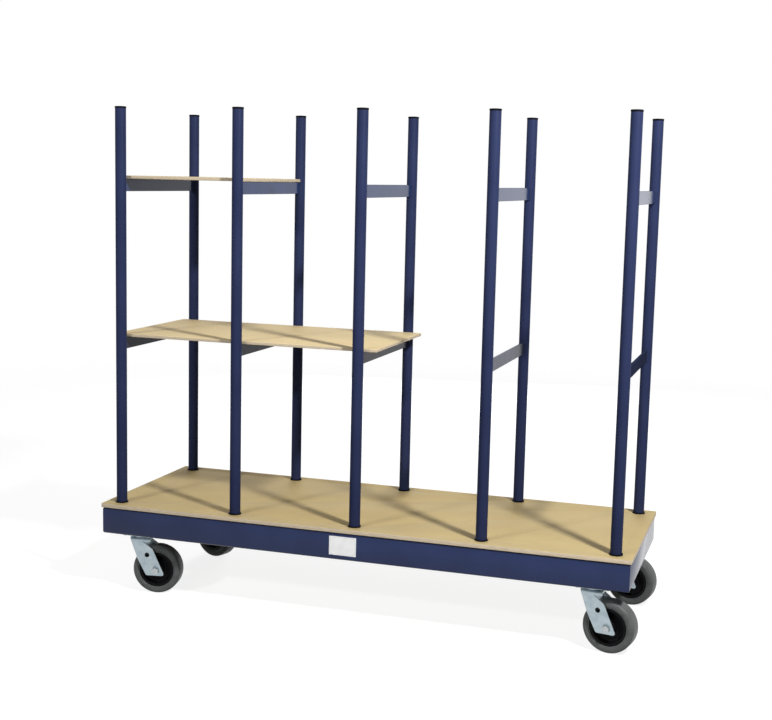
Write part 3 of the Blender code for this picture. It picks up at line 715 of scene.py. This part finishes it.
def tyre_section(outside, inside, half_width):
    side = [
        (inside, half_width - LIP_INNER_DROP, EDGE_ROUND),
        (inside + LIP_WIDTH, half_width - LIP_OUTER_DROP, LIP_ROUND),
        (inside + GROOVE_REACH, half_width - GROOVE_DROP, GROOVE_ROUND),
        (inside + SIDEWALL_REACH, half_width, EDGE_ROUND),
        (outside - SHOULDER_DROP, half_width, SHOULDER_ROUND),
    ]
    crown = [(outside, 0.0, CROWN_ROUND)]
    return rounded(side + crown + mirrored(side)[len(side):])


print("tread shoulder: %.1f mm" % (1000 * SHOULDER_ROUND))

# %% [markdown]
# The core is a deep dish on both faces: a hub round the bush, a thin web with a raised ring on it, and a rim
# that carries the tyre. A real one is moulded, so every corner is a little round, and the hub and the rim
# run into the web in wide fillets.

# %% Core section
HUB_RADIUS = 0.021
HUB_TAPER = 0.0015                                  # wider at the web
HUB_ROUND = 0.0014
HUB_FILLET = 0.0045
WEB_HALF_WIDTH = 0.0088
RING_RADIUS = 0.0330                                # of the raised ring on the web
RING_HEIGHT = 0.0016
RING_HALF_TOP = 0.0012
RING_HALF_FOOT = 0.0020
RING_ROUND = 0.0006
RIM_DEPTH = 0.0085                                  # at the face of the wheel
RIM_FOOT = 0.0115                                   # at the web
RIM_ROUND = 0.0010
RIM_FILLET = 0.0050


def core_section(bore, rim, hub_half_width, rim_half_width):
    ring_top = WEB_HALF_WIDTH + RING_HEIGHT
    return rounded(mirrored([
        (bore, hub_half_width, EDGE_ROUND),
        (HUB_RADIUS, hub_half_width, HUB_ROUND),
        (HUB_RADIUS + HUB_TAPER, WEB_HALF_WIDTH, HUB_FILLET),
        (RING_RADIUS - RING_HALF_FOOT, WEB_HALF_WIDTH, RING_ROUND),
        (RING_RADIUS - RING_HALF_TOP, ring_top, RING_ROUND),
        (RING_RADIUS + RING_HALF_TOP, ring_top, RING_ROUND),
        (RING_RADIUS + RING_HALF_FOOT, WEB_HALF_WIDTH, RING_ROUND),
        (rim - RIM_FOOT, WEB_HALF_WIDTH, RIM_FILLET),
        (rim - RIM_DEPTH, rim_half_width, RIM_ROUND),
        (rim, rim_half_width, EDGE_ROUND),
    ]))


print("web: %.1f mm thick" % (2000 * WEB_HALF_WIDTH))

# %% [markdown]
# Each fork stands turned its own way. The angles could be written here once more, but the line from its
# plate's middle to its wheel's middle already tells how far it is turned, so the axle's direction is
# measured from the solids. The radii of tyre and core are measured too.

# %% Tyres and cores
CORNERS = ("front_left", "front_right", "rear_left", "rear_right")
WHEEL_SIDES = 96
AXLE_ALONG_Y = Matrix.Rotation(math.pi / 2, 4, "X")     # turns +Z to -Y
CORE_BORE = 0.00995
HUB_HALF_WIDTH = 0.0285
RIM_HALF_WIDTH = 0.023
TYRE_HALF_WIDTH = 0.0254
TYRE_GAP = 0.0003


def on_axle(corner):
    """Lays a piece turned about Z along the axle of that caster."""
    wheel_middle = middle(f"wheel_tyre_{corner}")
    trail = wheel_middle - middle(f"caster_plate_{corner}")
    fork_turn = Matrix.Rotation(math.atan2(trail.y, trail.x), 4, "Z")
    return Matrix.Translation(wheel_middle) @ fork_turn @ AXLE_ALONG_Y


def wheel_radius(name):
    """Half the height of a packed tyre or core, which stands on its edge."""
    return middle(name).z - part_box(name)[0].z


for corner in CORNERS:
    wheel = f"wheel_{corner}"
    outside = wheel_radius(f"wheel_tyre_{corner}")
    rim = wheel_radius(f"wheel_core_{corner}")
    rubber = turned(tyre_section(outside, rim + TYRE_GAP, TYRE_HALF_WIDTH), WHEEL_SIDES)
    dish = turned(core_section(CORE_BORE, rim, HUB_HALF_WIDTH, RIM_HALF_WIDTH), WHEEL_SIDES)
    tyre = make_piece(f"tyre_{corner}", [(rubber, True)], RUBBER, wheel, on_axle(corner))
    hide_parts(f"wheel_tyre_{corner}")
    core = make_piece(f"core_{corner}", [(dish, True)], CORE, wheel, on_axle(corner))
    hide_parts(f"wheel_core_{corner}")
print("tyre across: %.1f mm" % (2000 * outside))

# %% [markdown]
# ## Nuts and bolts
# A hexagon is a circle whose radius changes with the angle, so a bolt head is a turned piece after all. The
# chamfer comes from the same formula: the further a corner reaches past the flats, the lower the chamfer
# cuts it. Threads are drawn as ridges, because a true helix would not show at this size.

# %% Hexagons and threads
HEX_POINTS = 48
CROWN_SHARE = 0.48                                  # radius of a head's flat top, of the width across flats
CHAMFER_SLOPE = math.tan(math.radians(30))
THREAD_PITCH = 0.0013
THREAD_DEPTH = 0.35 * THREAD_PITCH


def hexagon(flats, base, height):
    """A chamfered hexagon about Z, with that width across its flats."""
    turns = [2 * math.pi * point / HEX_POINTS for point in range(HEX_POINTS)]
    top = CROWN_SHARE * flats
    foot, shoulder, crown = [], [], []
    for turn in turns:
        off_flat = (turn + math.pi / 6) % (math.pi / 3) - math.pi / 6
        reach = flats / 2 / math.cos(off_flat)
        drop = (reach - top) * CHAMFER_SLOPE
        foot.append((reach * math.cos(turn), reach * math.sin(turn), base))
        shoulder.append((reach * math.cos(turn), reach * math.sin(turn), base + height - drop))
        crown.append((top * math.cos(turn), top * math.sin(turn), base + height))
    return [foot, shoulder, crown], False


def threaded_end(radius, base, height):
    ridges = max(1, round(height / THREAD_PITCH))
    step = height / ridges
    profile = [(radius - THREAD_DEPTH, base)]
    for ridge in range(ridges):
        profile.append((radius, base + (ridge + 0.5) * step))
        profile.append((radius - THREAD_DEPTH, base + (ridge + 1.0) * step))
    return turned(profile, HEX_POINTS), False


def plain_rod(radius, base, height):
    return turned([(radius, base), (radius, base + height)], HEX_POINTS), False


print("hexagon points:", HEX_POINTS)

# %% [markdown]
# An axle is a half-inch bolt through the fork and the wheel's bush. Its head is on one leg and its nut on the
# other, with a little thread past the nut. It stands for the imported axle, which has a plain hexagon at each
# end. The nut and thread are made on the head's side first and then turned over, so that both ends use the
# same measures.

# %% Axle bolts
AXLE_RADIUS = 0.00635
AXLE_FLATS = 0.0191
AXLE_SEAT = 0.0353                                  # from the wheel's middle to the head
AXLE_HEAD_HEIGHT = 0.0080
AXLE_NUT_HEIGHT = 0.0062
THREAD_PAST_NUT = AXLE_HEAD_HEIGHT - AXLE_NUT_HEIGHT

for corner in CORNERS:
    head = hexagon(AXLE_FLATS, AXLE_SEAT, AXLE_HEAD_HEIGHT)
    skins = [head, plain_rod(AXLE_RADIUS, -AXLE_SEAT, 2 * AXLE_SEAT)]
    nut = hexagon(AXLE_FLATS, AXLE_SEAT, AXLE_NUT_HEIGHT)
    thread = threaded_end(AXLE_RADIUS, AXLE_SEAT + AXLE_NUT_HEIGHT, THREAD_PAST_NUT)
    for rings, closed in (nut, thread):
        far_side = [[(x, y, -z) for x, y, z in ring] for ring in rings]
        skins.append((far_side, closed))
    fork = f"fork_{corner}"
    bolt = make_piece(f"axle_bolt_{corner}", skins, STEEL, fork, on_axle(corner))
    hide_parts(f"caster_axle_{corner}")
print("axle length: %.1f mm" % (2000 * (AXLE_SEAT + AXLE_HEAD_HEIGHT)))

# %% [markdown]
# Four bolts hold each caster plate up against its pad. Their nuts sit above the pad, under the deck, so that
# nothing hangs down where the fork's crown turns past, and only the low round heads show from below. Each
# head is a stretch of a flattened dome. All four of a caster are one piece, because nobody picks up only one.

# %% Caster bolts
BOLT_SPREAD_X = 0.0420                              # from the swivel to a bolt
BOLT_SPREAD_Y = 0.0295
BOLT_HEAD_RADIUS = 0.0088
BOLT_HEAD_HEIGHT = 0.0032
BOLT_HEAD_RINGS = 6
DOME_START = 15                                     # degrees up the dome
DOME_SPAN = 70
PLATE_THICKNESS = 0.00635
POINTING_DOWN = Matrix.Rotation(math.pi, 4, "X")


def round_head(x, y):
    """A low domed bolt head on a spot of the plate."""
    profile = [(BOLT_HEAD_RADIUS, 0.0)]
    for step in range(BOLT_HEAD_RINGS):
        rise = math.radians(DOME_START + DOME_SPAN * step / (BOLT_HEAD_RINGS - 1))
        profile.append((BOLT_HEAD_RADIUS * math.cos(rise), BOLT_HEAD_HEIGHT * math.sin(rise)))
    shift = Vector((x, y, 0.0))
    return [[shift + Vector(point) for point in ring] for ring in turned(profile, HEX_POINTS)], False


for corner in CORNERS:
    low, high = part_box(f"caster_plate_{corner}")
    plate_middle = (low + high) / 2
    plate_bottom = high.z - PLATE_THICKNESS
    spots = [(x, y) for x in (-BOLT_SPREAD_X, BOLT_SPREAD_X) for y in (-BOLT_SPREAD_Y, BOLT_SPREAD_Y)]
    heads = [round_head(x, y) for x, y in spots]
    under_plate = Matrix.Translation((plate_middle.x, plate_middle.y, plate_bottom)) @ POINTING_DOWN
    make_piece(f"caster_bolts_{corner}", heads, STEEL, "chassis", under_plate)
print("caster bolts:", len(heads) * len(CORNERS))

# %% [markdown]
# ## Weld beads
# A weld bead looks like a row of overlapping coins. It could be a bump on a plain tube, but then its outline
# would stay straight. So a bead is a tube of small circles whose radius swells and shrinks a little every few
# millimetres, and which thins out at both ends. It is painted with the steel that it joins.

# %% Weld bead
BEAD_RADIUS = 0.0022
BEAD_RIPPLE = 0.12                                  # share of the radius
BEAD_PITCH = 0.0040
BEAD_STEP = 0.0010
BEAD_FEWEST_STEPS = 4
BEAD_TIP = 0.35                                     # share of the radius at the tip, and gained at each step
BEAD_SIDES = 14


def weld_bead(start, end):
    """A rippled bead along a straight seam."""
    seam = end - start
    count = max(BEAD_FEWEST_STEPS, round(seam.length / BEAD_STEP))
    across = seam.orthogonal().normalized()
    other = seam.normalized().cross(across)
    rings = []
    for step in range(count + 1):
        along = step / count
        taper = min(1.0, BEAD_TIP + BEAD_TIP * min(step, count - step))
        swell = 1 + BEAD_RIPPLE * math.sin(2 * math.pi * along * seam.length / BEAD_PITCH)
        radius = BEAD_RADIUS * taper * swell
        ring = []
        for side in range(BEAD_SIDES):
            turn = 2 * math.pi * side / BEAD_SIDES
            ring.append(start + seam * along + radius * (math.cos(turn) * across + math.sin(turn) * other))
        rings.append(ring)
    return rings, False


print("bead width: %.1f mm" % (2000 * BEAD_RADIUS))

# %% [markdown]
# Each bar is welded to both posts of its frame, along both of its faces. The bar is flat and the post is
# round, so a seam lies where the bar's face meets the tube, which the post's radius and half the bar's
# thickness give. The eight beads of a frame are one piece, and lift out with it.

# %% Frame welds
BEAD_END_MARGIN = 0.001                             # from the bar's upper and lower edges

for number in FRAME_NUMBERS:
    beads = []
    for bar in (f"mid_bar_{number}", f"top_bar_{number}"):
        low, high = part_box(bar)
        half_thickness = (high.x - low.x) / 2
        for row, inward in (("front", 1), ("rear", -1)):
            post_low, post_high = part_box(f"post_{row}_{number}")
            post_radius = (post_high.x - post_low.x) / 2
            post_face = math.sqrt(post_radius ** 2 - half_thickness ** 2)
            y = middle(f"post_{row}_{number}").y + inward * post_face
            for x in (low.x, high.x):
                foot = Vector((x, y, low.z + BEAD_END_MARGIN))
                beads.append(weld_bead(foot, Vector((x, y, high.z - BEAD_END_MARGIN))))
    make_piece(f"frame_welds_{number}", beads, DULL_NAVY, f"frame_{number}")
print("beads on a frame:", len(beads))

# %% [markdown]
# Each caster pad is welded to the rails round it from below, in short runs: one on the side rail, past the
# caster plate, and two along the end rail. A bead all round would be stronger than it needs to be, and would
# pull the plate out of flat. All are measured from the pad's outer corner, so that one rule serves the four.

# %% Pad welds
PAD_BEAD_LENGTH = 0.026
SIDE_BEAD_REACH = 0.018                             # from the pad's outer corner to a bead's middle
END_BEAD_REACHES = (0.030, 0.078)

for corner in CORNERS:
    low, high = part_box(f"caster_pad_{corner}")
    to_side = -1 if corner.startswith("front") else 1
    to_end = -1 if corner.endswith("left") else 1
    corner_x = low.x if to_end < 0 else high.x
    corner_y = low.y if to_side < 0 else high.y
    along_x = Vector((PAD_BEAD_LENGTH / 2, 0.0, 0.0))
    along_y = Vector((0.0, PAD_BEAD_LENGTH / 2, 0.0))
    on_side = Vector((corner_x - to_end * SIDE_BEAD_REACH, corner_y, low.z))
    beads = [weld_bead(on_side - along_x, on_side + along_x)]
    for reach in END_BEAD_REACHES:
        on_end = Vector((corner_x, corner_y - to_side * reach, low.z))
        beads.append(weld_bead(on_end - along_y, on_end + along_y))
    make_piece(f"pad_welds_{corner}", beads, GLOSSY_NAVY, "chassis")
print("beads on a pad:", len(beads))

# %% [markdown]
# ## The label
# A white label sits on the front rail, a little left of the middle post. It is left blank, with only a thin
# printed frame. The frame could be four thin strips, but it has no thickness on a real label. So it is drawn
# in the material, by distance: how far a point lies inside the label's edge decides whether it falls on the
# line.

# %% Label finish
LABEL_MIDDLE = Vector((DECK_X - 0.0228, 0.2325))    # along the rail, and up
LABEL_WIDTH = 0.084
LABEL_HEIGHT = 0.057
LABEL_WHITE = (0.92, 0.92, 0.92)
LABEL_GREYED = (0.86, 0.86, 0.86)
LABEL_LINE = (0.42, 0.43, 0.45)
LINE_INSET = 0.0032
LINE_WIDTH = 0.0005


def label_finish():
    material, tree, shader, place = start_finish("blank_label", Roughness=0.42, Specular_IOR_Level=0.35)
    handling = add_noise(tree, place, scale=60.0, detail=4.0)
    ground = add_ramp(tree, handling, [(0.30, LABEL_GREYED), (0.60, LABEL_WHITE)])
    centre = (LABEL_MIDDLE.x, 0.0, LABEL_MIDDLE.y)
    offset = add_node(tree, "VectorMath", {0: place, 1: centre}, operation="SUBTRACT").outputs["Vector"]
    reach = add_node(tree, "VectorMath", {0: offset}, operation="ABSOLUTE").outputs["Vector"]
    sides = add_node(tree, "SeparateXYZ", {0: reach})
    from_end = add_node(tree, "Math", {0: LABEL_WIDTH / 2, 1: sides.outputs["X"]}, operation="SUBTRACT")
    from_top = add_node(tree, "Math", {0: LABEL_HEIGHT / 2, 1: sides.outputs["Z"]}, operation="SUBTRACT")
    inside = add_node(tree, "Math", {0: from_end.outputs[0], 1: from_top.outputs[0]}, operation="MINIMUM")
    near_line = {0: inside.outputs[0], 1: LINE_INSET, 2: LINE_WIDTH / 2}
    line = add_node(tree, "Math", near_line, operation="COMPARE").outputs[0]
    colour = add_node(tree, "MixRGB", {"Fac": line, "Color1": ground, "Color2": (*LABEL_LINE, 1.0)})
    tree.links.new(colour.outputs[0], shader.inputs["Base Color"])
    paper = add_noise(tree, place, scale=300.0, detail=3.0)
    link_bump(tree, shader, paper, strength=0.05, distance=0.0002)
    return material


print("label: %.0f by %.0f mm" % (1000 * LABEL_WIDTH, 1000 * LABEL_HEIGHT))

# %% [markdown]
# The label itself is a thin sheet with round corners and an eased front edge, on a hair's breadth of glue. A
# single flat face would be enough for this picture, but it would flicker against the rail and have no edge to
# catch the light. Three rings make it: the back, the end of the straight sides, and the slightly smaller
# front.

# %% Label
LABEL_CORNER = 0.0015
LABEL_THICKNESS = 0.0003
LABEL_GLUE = 0.00003
LABEL_STRAIGHT = 0.7 * LABEL_THICKNESS              # where the front edge starts to round off
LABEL_EASED = 0.0001


def label_outline(inset):
    half_width = LABEL_WIDTH / 2 - inset
    half_height = LABEL_HEIGHT / 2 - inset
    return rounded([
        (-half_width, -half_height, LABEL_CORNER),
        (half_width, -half_height, LABEL_CORNER),
        (half_width, half_height, LABEL_CORNER),
        (-half_width, half_height, LABEL_CORNER),
    ])


rail_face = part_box("front_side_rail")[0].y
label_rings = []
for inset, proud in ((0.0, LABEL_GLUE), (0.0, LABEL_STRAIGHT), (LABEL_EASED, LABEL_THICKNESS)):
    ring = [(LABEL_MIDDLE.x + x, rail_face - proud, LABEL_MIDDLE.y + z) for x, z in label_outline(inset)]
    label_rings.append(ring)
make_piece("blank_label", [(label_rings, False)], label_finish(), "chassis")
print("label corners: %.1f mm" % (1000 * LABEL_CORNER))
